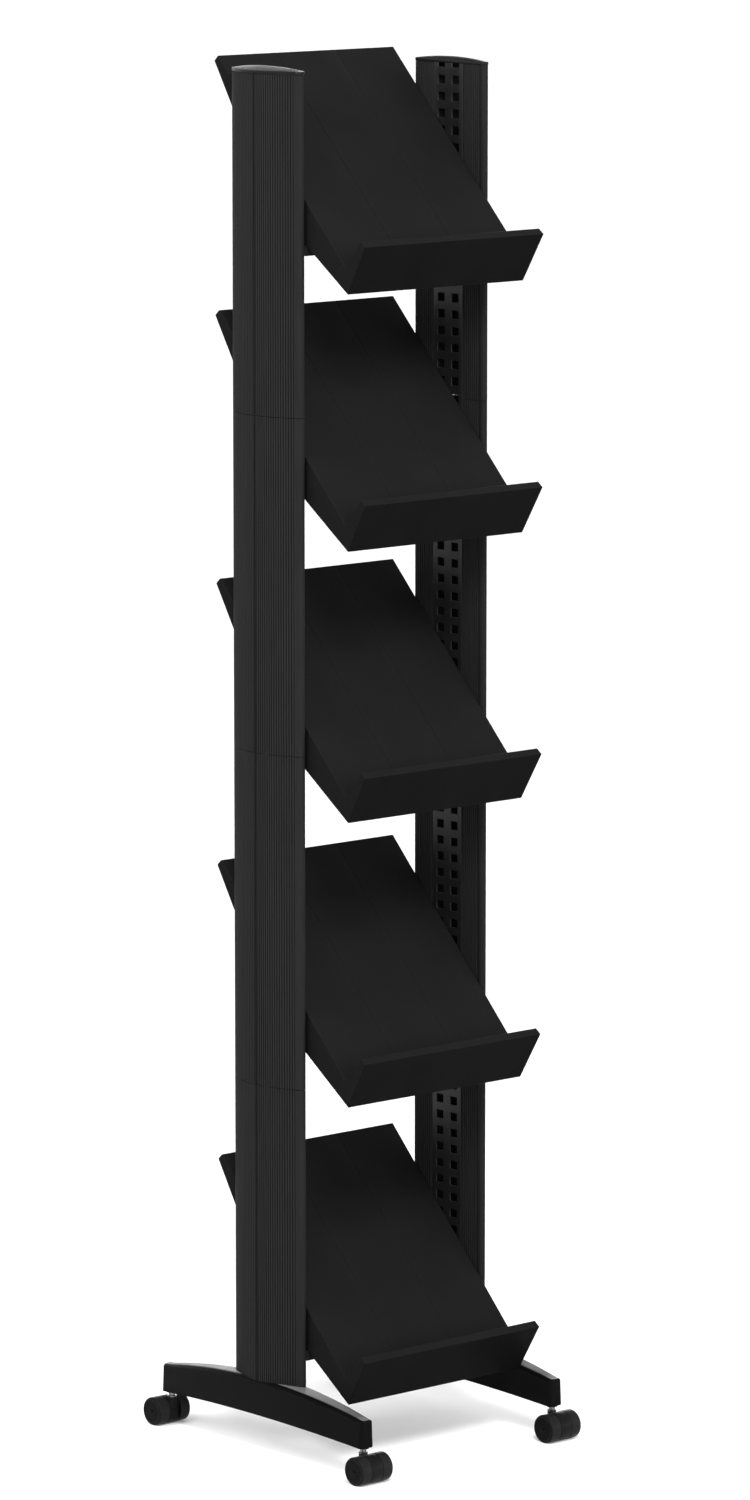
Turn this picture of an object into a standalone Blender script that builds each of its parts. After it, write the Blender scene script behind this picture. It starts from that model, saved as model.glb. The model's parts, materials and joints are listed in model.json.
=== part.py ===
"""Mobile newspaper rack: two slim columns on wheeled feet carry five sloping trays.

The numbers are millimetres and every mesh is scaled to metres as it is made.
X runs to the right, the front is -Y and Z is up. The floor is z = 0 and the
origin lies under the middle of the rack. The two sides are mirror images, so a
shape is drawn once with u, the distance from the middle plane, and X = side * u.
"""

import bmesh
import bpy
from math import acos, asin, cos, degrees, pi, radians, sin
from mathutils import Vector

MM = 0.001
GAP = 0.3                      # what touching pieces keep between them
SIDES = {"left": -1, "right": 1}
ENDS = {"front": -1, "back": 1}

# columns
COLUMN_TOP = 1652.0
SEGMENT = 400.0                # height of one cover
SEGMENTS = 4
SEAM = 0.4                     # slot between two covers
APEX_U = 165.4                 # outermost line of a column
OUTER_R = 111.5                # radius of a column's outer face
EDGE_U, EDGE_Y, EDGE_R = 143.3, 58.8, 4.2      # rounded front and back edges
WALL = 2.6
STRIP_U = 138.2                # inner face of the cover beside the strip
STRIP_HALF = 27.0              # half the slot that shows the rail
LIP_U, LIP = 145.0, 1.6        # the cover's edge turned in along the rail
GROOVE_HALF, GROOVE_DEEP, GROOVE_SLANT = 1.2, 1.8, 0.4
GROOVE_ANGLE = 1.6             # degrees from the apex at which the outer face's points begin
CAP_OVERHANG = 0.4
CAP_LEVELS = ((1.0, 0.0), (1.0, 3.2), (0.985, 4.4), (0.93, 5.9), (0.78, 7.4), (0.5, 8.2))
CAP_CROWN_U = 143.6            # the dome's highest line stands near the inner side
CAP_PEG_U, CAP_PEG_HALF, CAP_PEG_DEEP = (142.0, 155.0), 21.0, 10.0

# perforated rails
RAIL_U = 138.0
RAIL_HALF = 26.0
RAIL_FLANGE_U = 156.5
RAIL_SHEET = 1.5
RAIL_BOTTOM = 62.0
HOLE_PITCH = 20.0
HOLE_Y, HOLE_WIDE, HOLE_HIGH = 12.5, 12.0, 10.0
HOLE_CUT = 6.0                 # how far a hole's cutter runs through the web

# feet
FOOT_U = 151.0
STEM_Y = 177.8
FOOT_END = 7.4                 # how far each blunt end stands out past the stem's axis
FOOT_CORNER = 4.0
FOOT_END_HALF, FOOT_HALF_WIDE = 10.6, 17.7
FOOT_TOP_END, FOOT_TOP_RISE = 75.5, 17.5
FOOT_BOTTOM_END, FOOT_BOTTOM_RISE = 41.5, 7.5
FOOT_CROWN = 3.2               # how far the top falls from its middle to each side
FOOT_EDGE = 1.5
FOOT_DRAFT = 1.5               # how much narrower each side is at the top
COLUMN_SEAT = 84.0             # floor of the recess that takes the column
SEAT_GAP = 0.4
POCKET_GAP = 0.5
BOLT_U, BOLT_Y, BOLT_R = 148.0, 14.0, 2.7
BOLT_HEAD_R, BOLT_HEAD_LOW, BOLT_HEAD_HIGH = 4.6, 50.5, 54.5
BOLT_TOP = 77.0
BLOCK_TOP = 82.0

# casters
WHEEL_R, WHEEL_INNER, WHEEL_OUTER = 17.3, 8.7, 24.0
TRAIL = 10.3
AXLE_R, AXLE_HALF = 2.0, 18.0
STEM_R, STEM_TOP, STEM_FOOT = 4.0, 66.0, 34.3
COLLAR_R, COLLAR_TOP = 5.8, 36.5
SOCKET_R, SOCKET_RIM_R, SOCKET_TOP = 5.2, 6.9, 68.4
HOOD_HALF, HOOD_R = 8.4, 17.2
HOOD_LOW, HOOD_BACK = 1.5, -3.0
BOSS_R, BOSS_LOW = 5.4, 20.0

# trays: (y, z) above the outer bottom edge, seen from the side
TRAY_LEVELS = (84.0, 444.0, 784.0, 1104.0, 1404.0)
TRAY_HALF = 136.9
KEEL = (-134.9, 0.0)
LIP_OUTER_TOP = (-168.1, 55.7)
LIP_INNER_TOP = (-159.6, 60.3)
VALLEY = (-129.7, 32.3)
FLOOR_TOP = (98.3, 263.4)
FLOOR_BACK = (105.4, 256.8)
CHEEK_LOW = (6.0, 96.5)
TRAY_WALL = 2.6
RIB_DEEP = 14.6                # from the floor's upper face to a rib's lower edge
RIB_X = 45.6

# the two sheet-steel beams that tie the columns together, measured from a tray's level
BEAM_LEVELS = {"bottom": TRAY_LEVELS[0], "top": TRAY_LEVELS[-1]}
BEAM_HALF = 133.9
BEAM_SHEET = 1.5
BEAM_FRONT, BEAM_REAR = -60.0, 20.0
BEAM_LOW, BEAM_HIGH = 37.5, 77.5
BEAM_FLANGE = 14.0
TAB_END, TAB_TOP = 138.5, 50.0          # tab that fills the slot beside a column

# hooks: (y, height of the hole above the tray's level)
HOOK_WIDE, HOOK_THICK, HOOK_DROP, HOOK_LIP = 8.0, 4.0, 4.4, 2.0
TRAY_HOOKS = ((-HOLE_Y, 108.0), (-HOLE_Y, 128.0), (HOLE_Y, 128.0), (HOLE_Y, 148.0))
BEAM_HOOKS = ((-HOLE_Y, 48.0), (HOLE_Y, 48.0), (-HOLE_Y, 68.0), (HOLE_Y, 68.0))

COLOURS = {                    # linear colour, metallic, roughness
    "column_plastic": ((0.018, 0.018, 0.019), 0.0, 0.55),
    "cap_plastic": ((0.022, 0.022, 0.023), 0.0, 0.5),
    "foot_plastic": ((0.016, 0.016, 0.017), 0.0, 0.45),
    "tray_plastic": ((0.012, 0.012, 0.013), 0.0, 0.6),
    "rail_steel": ((0.014, 0.014, 0.015), 0.3, 0.5),
    "beam_steel": ((0.014, 0.014, 0.015), 0.3, 0.5),
    "wheel_plastic": ((0.015, 0.015, 0.016), 0.0, 0.35),
    "body_plastic": ((0.015, 0.015, 0.016), 0.0, 0.45),
    "bright_steel": ((0.62, 0.62, 0.63), 1.0, 0.25),
    "socket_plastic": ((0.02, 0.02, 0.02), 0.0, 0.5),
}


def clear_scene():
    for item in list(bpy.data.objects):
        bpy.data.objects.remove(item)


def material(slot):
    found = bpy.data.materials.get(slot)
    if found:
        return found
    colour, metallic, roughness = COLOURS[slot]
    made = bpy.data.materials.new(slot)
    made.use_nodes = True
    shader = made.node_tree.nodes["Principled BSDF"]
    shader.inputs["Base Color"].default_value = (*colour, 1.0)
    shader.inputs["Metallic"].default_value = metallic
    shader.inputs["Roughness"].default_value = roughness
    made.diffuse_color = (*colour, 1.0)
    return made


# ---------------------------------------------------------------- mesh helpers

def finish(bm, name, slot=None):
    """Turn a bmesh in millimetres into a named object in metres."""
    bmesh.ops.recalc_face_normals(bm, faces=bm.faces)
    bmesh.ops.triangulate(bm, faces=[f for f in bm.faces if len(f.verts) > 4],
                          ngon_method="EAR_CLIP")
    bmesh.ops.scale(bm, vec=Vector((MM, MM, MM)), verts=bm.verts)
    mesh = bpy.data.meshes.new(name)
    bm.to_mesh(mesh)
    bm.free()
    item = bpy.data.objects.new(name, mesh)
    bpy.context.scene.collection.objects.link(item)
    if slot:
        mesh.materials.append(material(slot))
    return item


def loft(rings, name, slot=None):
    """Join rings of equal length into one closed body with a flat face at each end."""
    bm = bmesh.new()
    loops = [[bm.verts.new(point) for point in ring] for ring in rings]
    count = len(loops[0])
    for low, high in zip(loops, loops[1:]):
        for i in range(count):
            j = (i + 1) % count
            bm.faces.new((low[i], low[j], high[j], high[i]))
    bm.faces.new(loops[0])
    bm.faces.new(loops[-1])
    return finish(bm, name, slot)


def prism(outline, low, high, axis, name, slot=None):
    """Extrude a closed outline along X, Y or Z."""
    spot = {"X": lambda p, h: (h, p[0], p[1]),
            "Y": lambda p, h: (p[0], h, p[1]),
            "Z": lambda p, h: (p[0], p[1], h)}[axis]
    return loft([[spot(p, h) for p in outline] for h in (low, high)], name, slot)


def box(low, high, name, slot=None):
    outline = [(low[0], low[1]), (high[0], low[1]), (high[0], high[1]), (low[0], high[1])]
    return prism(outline, low[2], high[2], "Z", name, slot)


def turned(profile, segments, axis, name, slot=None, ring=False):
    """Turn a profile of (radius, height) about Z or X through the origin.

    ring closes the profile on itself, which leaves a hole along the axis.
    """
    spot = {"Z": lambda r, h, a: (r * cos(a), r * sin(a), h),
            "X": lambda r, h, a: (h, r * cos(a), r * sin(a))}[axis]
    angles = [2 * pi * i / segments for i in range(segments)]
    rings = [[spot(r, h, a) for a in angles] for r, h in profile]
    if not ring:
        return loft(rings, name, slot)
    bm = bmesh.new()
    loops = [[bm.verts.new(point) for point in points] for points in rings]
    for k, low in enumerate(loops):
        high = loops[(k + 1) % len(loops)]
        for i in range(segments):
            j = (i + 1) % segments
            bm.faces.new((low[i], low[j], high[j], high[i]))
    return finish(bm, name, slot)


def combine(target, tools, operation):
    """Bake a Boolean of the tools into the target and drop the tools."""
    for tool in tools:
        step = target.modifiers.new(tool.name, "BOOLEAN")
        step.operation = operation
        step.solver = "EXACT"
        step.object = tool
    depsgraph = bpy.context.evaluated_depsgraph_get()
    mesh = bpy.data.meshes.new_from_object(target.evaluated_get(depsgraph), depsgraph=depsgraph)
    target.modifiers.clear()
    target.data = mesh
    for tool in tools:
        bpy.data.objects.remove(tool)
    return target


def smooth(item, angle=35.0):
    item.data.shade_smooth()
    item.data.set_sharp_from_angle(angle=radians(angle))
    return item


def sided(outline, side):
    return [(side * u, y) for u, y in outline]


# --------------------------------------------------------------------- columns

def arc(centre, radius, start, stop, steps):
    """Points on a circle, with angles in degrees from the +u direction."""
    angles = [radians(start + (stop - start) * i / steps) for i in range(steps + 1)]
    return [(centre[0] + radius * cos(a), centre[1] + radius * sin(a)) for a in angles]


def outer_angle():
    return asin(EDGE_Y / OUTER_R) * 180 / pi


def outer_face(offset, start, stop, steps):
    return arc((APEX_U - OUTER_R, 0), OUTER_R + offset, start, stop, steps)


def round_edge(end, offset, steps=4):
    """The rounded edge at one end, from the outer face to the inner face."""
    return arc((EDGE_U, end * EDGE_Y), EDGE_R + offset, end * outer_angle(), end * 180, steps)


def lens(offset=0.0):
    """The column's whole outline."""
    span = outer_angle()
    inner_u = STRIP_U - offset
    return (outer_face(offset, -span, span, 12) + round_edge(1, offset)
            + [(inner_u, STRIP_HALF), (inner_u, -STRIP_HALF)] + round_edge(-1, offset)[::-1])


def groove_points():
    """The upright groove down the middle of the outer face."""
    floor_u = APEX_U - GROOVE_DEEP
    floor_half = GROOVE_HALF - GROOVE_SLANT
    return [(APEX_U, -GROOVE_HALF), (floor_u, -floor_half), (floor_u, floor_half),
            (APEX_U, GROOVE_HALF)]


def cover_outline():
    """A hooked shell, open down the inner side where the rail shows."""
    span = outer_angle()
    near = GROOVE_ANGLE
    behind_groove = -WALL - GROOVE_DEEP + GROOVE_SLANT
    outside = ([(STRIP_U, -STRIP_HALF)] + round_edge(-1, 0)[::-1]
               + outer_face(0, -span, -near, 6) + groove_points()
               + outer_face(0, near, span, 6) + round_edge(1, 0) + [(STRIP_U, STRIP_HALF)])
    turn_in = [(LIP_U, STRIP_HALF), (LIP_U, STRIP_HALF + LIP)]
    inside = ([(STRIP_U + WALL, STRIP_HALF + LIP)] + round_edge(1, -WALL, 2)[::-1]
              + outer_face(-WALL, span, 2 * near, 6) + outer_face(behind_groove, near, -near, 2)
              + outer_face(-WALL, -2 * near, -span, 6) + round_edge(-1, -WALL, 2)
              + [(STRIP_U + WALL, -STRIP_HALF - LIP)])
    turn_out = [(LIP_U, -STRIP_HALF - LIP), (LIP_U, -STRIP_HALF)]
    return outside + turn_in + inside + turn_out


def make_covers(side_name, side):
    outline = sided(cover_outline(), side)
    for number in range(1, SEGMENTS + 1):
        high = COLUMN_TOP - (SEGMENTS - number) * SEGMENT
        low = max(high - SEGMENT + SEAM, COLUMN_SEAT + GAP)
        name = f"column_cover_{side_name}_{number}"
        smooth(prism(outline, low, high, "Z", name, "column_plastic"))


def hole_cutter():
    """Every hook hole as one set of boxes; the row at the very top is half a hole."""
    bm = bmesh.new()
    rows = int((COLUMN_TOP - RAIL_BOTTOM - HOLE_HIGH) // HOLE_PITCH)
    for k in range(rows + 1):
        for y in (-HOLE_Y, HOLE_Y):
            made = bmesh.ops.create_cube(bm, size=1.0)["verts"]
            bmesh.ops.scale(bm, vec=Vector((HOLE_CUT, HOLE_WIDE, HOLE_HIGH)), verts=made)
            bmesh.ops.translate(bm, vec=Vector((0, y, COLUMN_TOP - HOLE_PITCH * k)), verts=made)
    return finish(bm, "hook_holes")


def make_rail(side_name, side):
    """A steel channel whose web carries two rows of square hook holes."""
    inner_u, inner_y = RAIL_U + RAIL_SHEET, RAIL_HALF - RAIL_SHEET
    channel = [(RAIL_U, -RAIL_HALF), (RAIL_U, RAIL_HALF), (RAIL_FLANGE_U, RAIL_HALF),
               (RAIL_FLANGE_U, inner_y), (inner_u, inner_y), (inner_u, -inner_y),
               (RAIL_FLANGE_U, -inner_y), (RAIL_FLANGE_U, -RAIL_HALF)]
    rail = prism(sided(channel, side), RAIL_BOTTOM, COLUMN_TOP, "Z", f"rail_{side_name}",
                 "rail_steel")
    holes = hole_cutter()
    holes.location.x = side * RAIL_U * MM
    combine(rail, [holes], "DIFFERENCE")


def make_cap(side_name, side):
    """A domed lid with a peg that goes down inside the rail."""
    low = COLUMN_TOP + GAP
    rings = [[(side * (CAP_CROWN_U + (u - CAP_CROWN_U) * scale), y * scale, low + height)
              for u, y in lens(CAP_OVERHANG)] for scale, height in CAP_LEVELS]
    dome = loft(rings, f"top_cap_{side_name}", "cap_plastic")
    peg_u = sorted(side * u for u in CAP_PEG_U)
    peg = box((peg_u[0], -CAP_PEG_HALF, COLUMN_TOP - CAP_PEG_DEEP),
              (peg_u[1], CAP_PEG_HALF, low + 2.0), "peg")
    smooth(combine(dome, [peg], "UNION"))


# ------------------------------------------------------------------------ feet

def foot_section(y, half, side):
    """One cross-section of a foot: flat below, with leaning sides and a crowned top."""
    run = max(0.0, 1 - (y / (STEM_Y + 2)) ** 2)
    low = FOOT_BOTTOM_END + FOOT_BOTTOM_RISE * run
    high = FOOT_TOP_END + FOOT_TOP_RISE * run
    top = half - min(FOOT_DRAFT, half * 0.13)
    fall = FOOT_CROWN * half / FOOT_HALF_WIDE
    rim = [(top, high - fall - FOOT_EDGE), (top - 0.4 * FOOT_EDGE, high - fall),
           (0.62 * top, high - 0.3 * fall), (0.25 * top, high)]
    shape = [(-half, low)] + [(-u, z) for u, z in rim] + rim[::-1] + [(half, low)]
    return [(side * (FOOT_U + u), y, z) for u, z in shape]


def foot_stations():
    """Places along a foot with the half width there; each end is blunt with round corners."""
    beam = [-165, -145, -120, -92, -66, -33, 0, 33, 66, 92, 120, 145, 165]
    middle = [(float(y), FOOT_END_HALF + (FOOT_HALF_WIDE - FOOT_END_HALF) * (1 - (y / STEM_Y) ** 2))
              for y in beam]
    start, flat = STEM_Y + FOOT_END - FOOT_CORNER, FOOT_END_HALF - FOOT_CORNER
    nose = [(start + FOOT_CORNER * sin(radians(a)), flat + FOOT_CORNER * cos(radians(a)))
            for a in (0, 30, 55, 75, 88)]
    return [(-y, half) for y, half in reversed(nose)] + middle + nose


def make_foot(side_name, side):
    foot = loft([foot_section(y, half, side) for y, half in foot_stations()],
                f"foot_{side_name}", "foot_plastic")
    above, below = 110.0, 30.0
    cutters = [prism(sided(lens(SEAT_GAP), side), COLUMN_SEAT, above, "Z", "seat")]
    pocket = sorted((side * (RAIL_U - POCKET_GAP), side * (RAIL_FLANGE_U + POCKET_GAP)))
    half = RAIL_HALF + POCKET_GAP
    cutters.append(box((pocket[0], -half, RAIL_BOTTOM - GAP), (pocket[1], half, COLUMN_SEAT + 2),
                       "rail_pocket"))
    shoulder = BOLT_HEAD_HIGH + 0.5
    for end in ENDS.values():
        bore = turned([(SOCKET_R + SEAT_GAP, below), (SOCKET_R + SEAT_GAP, SOCKET_TOP + 0.6)], 20,
                      "Z", "socket_bore")
        bore.location = (side * FOOT_U * MM, end * STEM_Y * MM, 0)
        hole = turned([(BOLT_HEAD_R + 0.6, below), (BOLT_HEAD_R + 0.6, shoulder),
                       (BOLT_R + 0.6, shoulder), (BOLT_R + 0.6, RAIL_BOTTOM + 8)], 14, "Z",
                      "bolt_bore")
        hole.location = (side * BOLT_U * MM, end * BOLT_Y * MM, 0)
        cutters += [bore, hole]
    smooth(combine(foot, cutters, "DIFFERENCE"))
    make_foot_fixings(side_name, side)


def make_foot_fixings(side_name, side):
    """A threaded block in the rail's end and the two bolts that pull it down."""
    u = sorted((side * (RAIL_U + RAIL_SHEET + GAP), side * (RAIL_FLANGE_U - 0.5)))
    half = RAIL_HALF - RAIL_SHEET - GAP
    block = box((u[0], -half, RAIL_BOTTOM + GAP), (u[1], half, BLOCK_TOP),
                f"rail_block_{side_name}", "socket_plastic")
    holes = []
    for end_name, end in ENDS.items():
        hole = turned([(BOLT_R + 0.4, RAIL_BOTTOM - 2), (BOLT_R + 0.4, BOLT_TOP + 2)], 14, "Z",
                      "thread")
        bolt = turned([(1.8, BOLT_HEAD_LOW), (BOLT_HEAD_R, BOLT_HEAD_LOW),
                       (BOLT_HEAD_R, BOLT_HEAD_HIGH), (BOLT_R, BOLT_HEAD_HIGH), (BOLT_R, BOLT_TOP)],
                      14, "Z", f"foot_bolt_{side_name}_{end_name}", "bright_steel")
        for item in (hole, bolt):
            item.location = (side * BOLT_U * MM, end * BOLT_Y * MM, 0)
        smooth(bolt)
        holes.append(hole)
    combine(block, holes, "DIFFERENCE")


# --------------------------------------------------------------------- casters

def pivot(name, location, parent=None):
    empty = bpy.data.objects.new(name, None)
    empty.location = [value * MM for value in location]
    empty.parent = parent
    bpy.context.scene.collection.objects.link(empty)
    return empty


def hood_outline():
    """A disc round the axle, cut flat below and on the side of the stem.

    The points are (t, z), where t runs from the stem towards the axle.
    """
    low = degrees(asin((HOOD_LOW - WHEEL_R) / HOOD_R))
    back = degrees(acos((HOOD_BACK - TRAIL) / HOOD_R))
    axle = (TRAIL, WHEEL_R)
    return arc(axle, HOOD_R, low, back, 14) + arc(axle, HOOD_R, 360 - back, 180 - low, 1)


def make_caster_body(name, end):
    """A hood between the wheels that holds the axle, with a round boss under the stem."""
    hood = prism([(end * t, z) for t, z in hood_outline()], -HOOD_HALF, HOOD_HALF, "X", name,
                 "body_plastic")
    boss = turned([(BOSS_R - 1.5, BOSS_LOW), (BOSS_R, BOSS_LOW + 2), (BOSS_R, STEM_FOOT - GAP)],
                  16, "Z", "boss")
    reach = HOOD_HALF + 1
    bore = turned([(AXLE_R + 0.35, -reach), (AXLE_R + 0.35, reach)], 12, "X", "axle_bore")
    bore.location = (0, end * TRAIL * MM, WHEEL_R * MM)
    combine(hood, [boss], "UNION")
    return combine(hood, [bore], "DIFFERENCE")


def make_caster(side_name, side, end_name, end):
    tag = f"{end_name}_{side_name}"
    swivel = pivot(f"caster_pivot_{tag}", (side * FOOT_U, end * STEM_Y, 0))
    rim_low, rim_high = FOOT_BOTTOM_END - 1.2, FOOT_BOTTOM_END - GAP
    bore_r = STEM_R + 0.15
    socket = turned([(bore_r, rim_low), (SOCKET_RIM_R, rim_low), (SOCKET_RIM_R, rim_high),
                     (SOCKET_R, rim_high), (SOCKET_R, SOCKET_TOP), (bore_r, SOCKET_TOP)], 20, "Z",
                    f"caster_socket_{tag}", "socket_plastic", ring=True)
    stem = turned([(COLLAR_R, STEM_FOOT), (COLLAR_R, COLLAR_TOP), (STEM_R, COLLAR_TOP),
                   (STEM_R, STEM_TOP - 1), (STEM_R - 1, STEM_TOP)], 16, "Z",
                  f"caster_stem_{tag}", "bright_steel")
    for item in (socket, stem, make_caster_body(f"caster_body_{tag}", end)):
        smooth(item)
        item.parent = swivel
    hub = pivot(f"axle_pivot_{tag}", (0, end * TRAIL, WHEEL_R), swivel)
    axle = turned([(AXLE_R - 0.4, -AXLE_HALF), (AXLE_R, -AXLE_HALF + 0.5),
                   (AXLE_R, AXLE_HALF - 0.5), (AXLE_R - 0.4, AXLE_HALF)], 12, "X",
                  f"caster_axle_{tag}", "bright_steel")
    smooth(axle).parent = hub
    for wheel_name, way in (("outer", side), ("inner", -side)):
        profile = [(AXLE_R + 0.06, AXLE_HALF + 0.4), (AXLE_R + 0.06, WHEEL_INNER),
                   (WHEEL_R - 0.6, WHEEL_INNER), (WHEEL_R, WHEEL_INNER + 0.6),
                   (WHEEL_R, WHEEL_OUTER - 2.8), (WHEEL_R - 1.4, WHEEL_OUTER - 0.7),
                   (WHEEL_R - 3.6, WHEEL_OUTER)]
        wheel = turned([(r, way * h) for r, h in profile], 20, "X", f"wheel_{tag}_{wheel_name}",
                       "wheel_plastic")
        smooth(wheel).parent = hub


# ----------------------------------------------------------------------- trays

def inset_line(a, b, distance):
    """The line through a and b, moved to its left by distance."""
    run = Vector(b) - Vector(a)
    step = Vector((-run.y, run.x)).normalized() * distance
    return Vector(a) + step, Vector(b) + step


def crossing(first, second):
    (a, b), (c, d) = first, second
    r, s, gap = b - a, d - c, c - a
    return a + r * ((gap.x * s.y - gap.y * s.x) / (r.x * s.y - r.y * s.x))


def tray_outline():
    return [KEEL, LIP_OUTER_TOP, LIP_INNER_TOP, VALLEY, FLOOR_TOP, FLOOR_BACK, CHEEK_LOW]


def tray_hollow(floor_wall):
    """The space under the floor and inside the lip, which runs out past the lower edges."""
    walls = [inset_line(KEEL, LIP_OUTER_TOP, -TRAY_WALL),
             inset_line(LIP_OUTER_TOP, LIP_INNER_TOP, -TRAY_WALL),
             inset_line(LIP_INNER_TOP, VALLEY, -TRAY_WALL),
             inset_line(VALLEY, FLOOR_TOP, -floor_wall),
             inset_line(FLOOR_TOP, FLOOR_BACK, -TRAY_WALL)]
    corners = [crossing(a, b) for a, b in zip(walls, walls[1:])]
    start, stop = walls[0], walls[-1]
    front = start[0] + (start[0] - start[1]).normalized() * 12
    rear = stop[1] + (stop[1] - stop[0]).normalized() * 12
    return [tuple(p) for p in [front] + corners + [rear]] + [(130.0, 60.0), (-100.0, -60.0)]


def make_tray_mesh():
    """A moulded tray: floor, thick lip and a cheek at each side, hollow from below."""
    tray = prism(tray_outline(), -TRAY_HALF, TRAY_HALF, "X", "tray_shape", "tray_plastic")
    inner = TRAY_HALF - TRAY_WALL
    half_rib = TRAY_WALL / 2
    bays = ((-inner, -RIB_X - half_rib), (-RIB_X + half_rib, RIB_X - half_rib),
            (RIB_X + half_rib, inner))
    cutters = [prism(tray_hollow(TRAY_WALL), low, high, "X", "bay") for low, high in bays]
    cutters.append(prism(tray_hollow(RIB_DEEP), -inner, inner, "X", "under_ribs"))
    combine(tray, cutters, "DIFFERENCE")
    combine(tray, make_hooks(inner + 0.6, TRAY_HOOKS), "UNION")
    return take_mesh(tray)


def make_hooks(root_u, places):
    """Tongues through the rails' webs, each with a lip that drops behind the web."""
    behind = RAIL_U + RAIL_SHEET + GAP
    hooks = []
    for way in SIDES.values():
        for y, row in places:
            low = row - HOLE_HIGH / 2 + GAP
            shape = [(root_u, low), (behind, low), (behind, low - HOOK_DROP),
                     (behind + HOOK_LIP, low - HOOK_DROP), (behind + HOOK_LIP, low + HOOK_THICK),
                     (root_u, low + HOOK_THICK)]
            hooks.append(prism(sided(shape, way), y - HOOK_WIDE / 2, y + HOOK_WIDE / 2, "Y",
                               "hook"))
    return hooks


def take_mesh(item):
    mesh = item.data
    bpy.data.objects.remove(item)
    return mesh


def make_beam_mesh():
    """A folded channel between the columns, with a hooked plate at each end."""
    fold, rear = BEAM_FRONT + BEAM_SHEET, BEAM_FRONT + BEAM_FLANGE
    channel = [(BEAM_FRONT, BEAM_LOW), (BEAM_FRONT, BEAM_HIGH), (rear, BEAM_HIGH),
               (rear, BEAM_HIGH - BEAM_SHEET), (fold, BEAM_HIGH - BEAM_SHEET),
               (fold, BEAM_LOW + BEAM_SHEET), (rear, BEAM_LOW + BEAM_SHEET), (rear, BEAM_LOW)]
    beam = prism(channel, -BEAM_HALF, BEAM_HALF, "X", "beam_shape", "beam_steel")
    plates = []
    for way in SIDES.values():
        low, high = sorted((way * (BEAM_HALF - BEAM_SHEET), way * BEAM_HALF))
        plates.append(box((low, BEAM_FRONT, BEAM_LOW), (high, BEAM_REAR, BEAM_HIGH), "plate"))
        low, high = sorted((way * (BEAM_HALF - BEAM_SHEET / 2), way * TAB_END))
        plates.append(box((low, BEAM_FRONT, BEAM_LOW), (high, fold, TAB_TOP), "tab"))
    combine(beam, plates + make_hooks(BEAM_HALF - 1.0, BEAM_HOOKS), "UNION")
    return take_mesh(beam)


def place(name, mesh, level):
    item = bpy.data.objects.new(name, mesh)
    item.location = (0, 0, level * MM)
    bpy.context.scene.collection.objects.link(item)


def make_trays_and_beams():
    tray_mesh, beam_mesh = make_tray_mesh(), make_beam_mesh()
    for number, level in enumerate(TRAY_LEVELS, start=1):
        place(f"tray_{number}", tray_mesh, level)
    for label, level in BEAM_LEVELS.items():
        place(f"cross_beam_{label}", beam_mesh, level)


def main():
    clear_scene()
    for side_name, side in SIDES.items():
        make_covers(side_name, side)
        make_rail(side_name, side)
        make_cap(side_name, side)
        make_foot(side_name, side)
        for end_name, end in ENDS.items():
            make_caster(side_name, side, end_name, end)
    make_trays_and_beams()


main()
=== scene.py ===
"""The looks of the mobile newspaper rack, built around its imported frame.

Every shape is drawn in millimetres and scaled to metres as its mesh is made. The two
sides are mirror images, so a shape is drawn with u, the distance from the middle
plane, and X = side * u. Most places come from the frame's own boxes.
"""

import json
from math import acos, asin, copysign, cos, degrees, hypot, pi, radians, sin

import bmesh
import bpy
from mathutils import Matrix, Vector


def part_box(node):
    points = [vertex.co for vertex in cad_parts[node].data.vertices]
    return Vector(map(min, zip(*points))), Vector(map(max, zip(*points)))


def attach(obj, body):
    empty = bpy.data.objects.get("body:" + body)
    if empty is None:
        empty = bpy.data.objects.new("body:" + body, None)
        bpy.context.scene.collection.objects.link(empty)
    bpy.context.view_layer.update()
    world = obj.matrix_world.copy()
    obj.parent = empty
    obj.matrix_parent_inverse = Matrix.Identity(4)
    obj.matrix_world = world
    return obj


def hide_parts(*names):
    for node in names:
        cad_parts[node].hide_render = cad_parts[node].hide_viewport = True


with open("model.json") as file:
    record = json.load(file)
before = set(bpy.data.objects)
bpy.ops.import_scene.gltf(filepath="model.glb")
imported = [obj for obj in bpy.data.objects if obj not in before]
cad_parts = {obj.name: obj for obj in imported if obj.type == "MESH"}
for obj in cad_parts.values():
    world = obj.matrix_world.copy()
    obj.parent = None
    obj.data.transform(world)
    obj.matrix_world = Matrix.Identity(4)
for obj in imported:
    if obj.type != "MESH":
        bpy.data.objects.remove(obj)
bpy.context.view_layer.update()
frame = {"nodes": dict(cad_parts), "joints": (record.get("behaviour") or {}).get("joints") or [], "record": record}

MM = 0.001
SIDES = {"left": -1, "right": 1}
ENDS = {"front": -1, "back": 1}
RACK = "rack"
GAP = 0.3                      # between neighbouring pieces, in millimetres


def node_box(node):
    """A node's lowest and highest corners in millimetres."""
    low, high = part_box(node)
    return low / MM, high / MM


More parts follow.
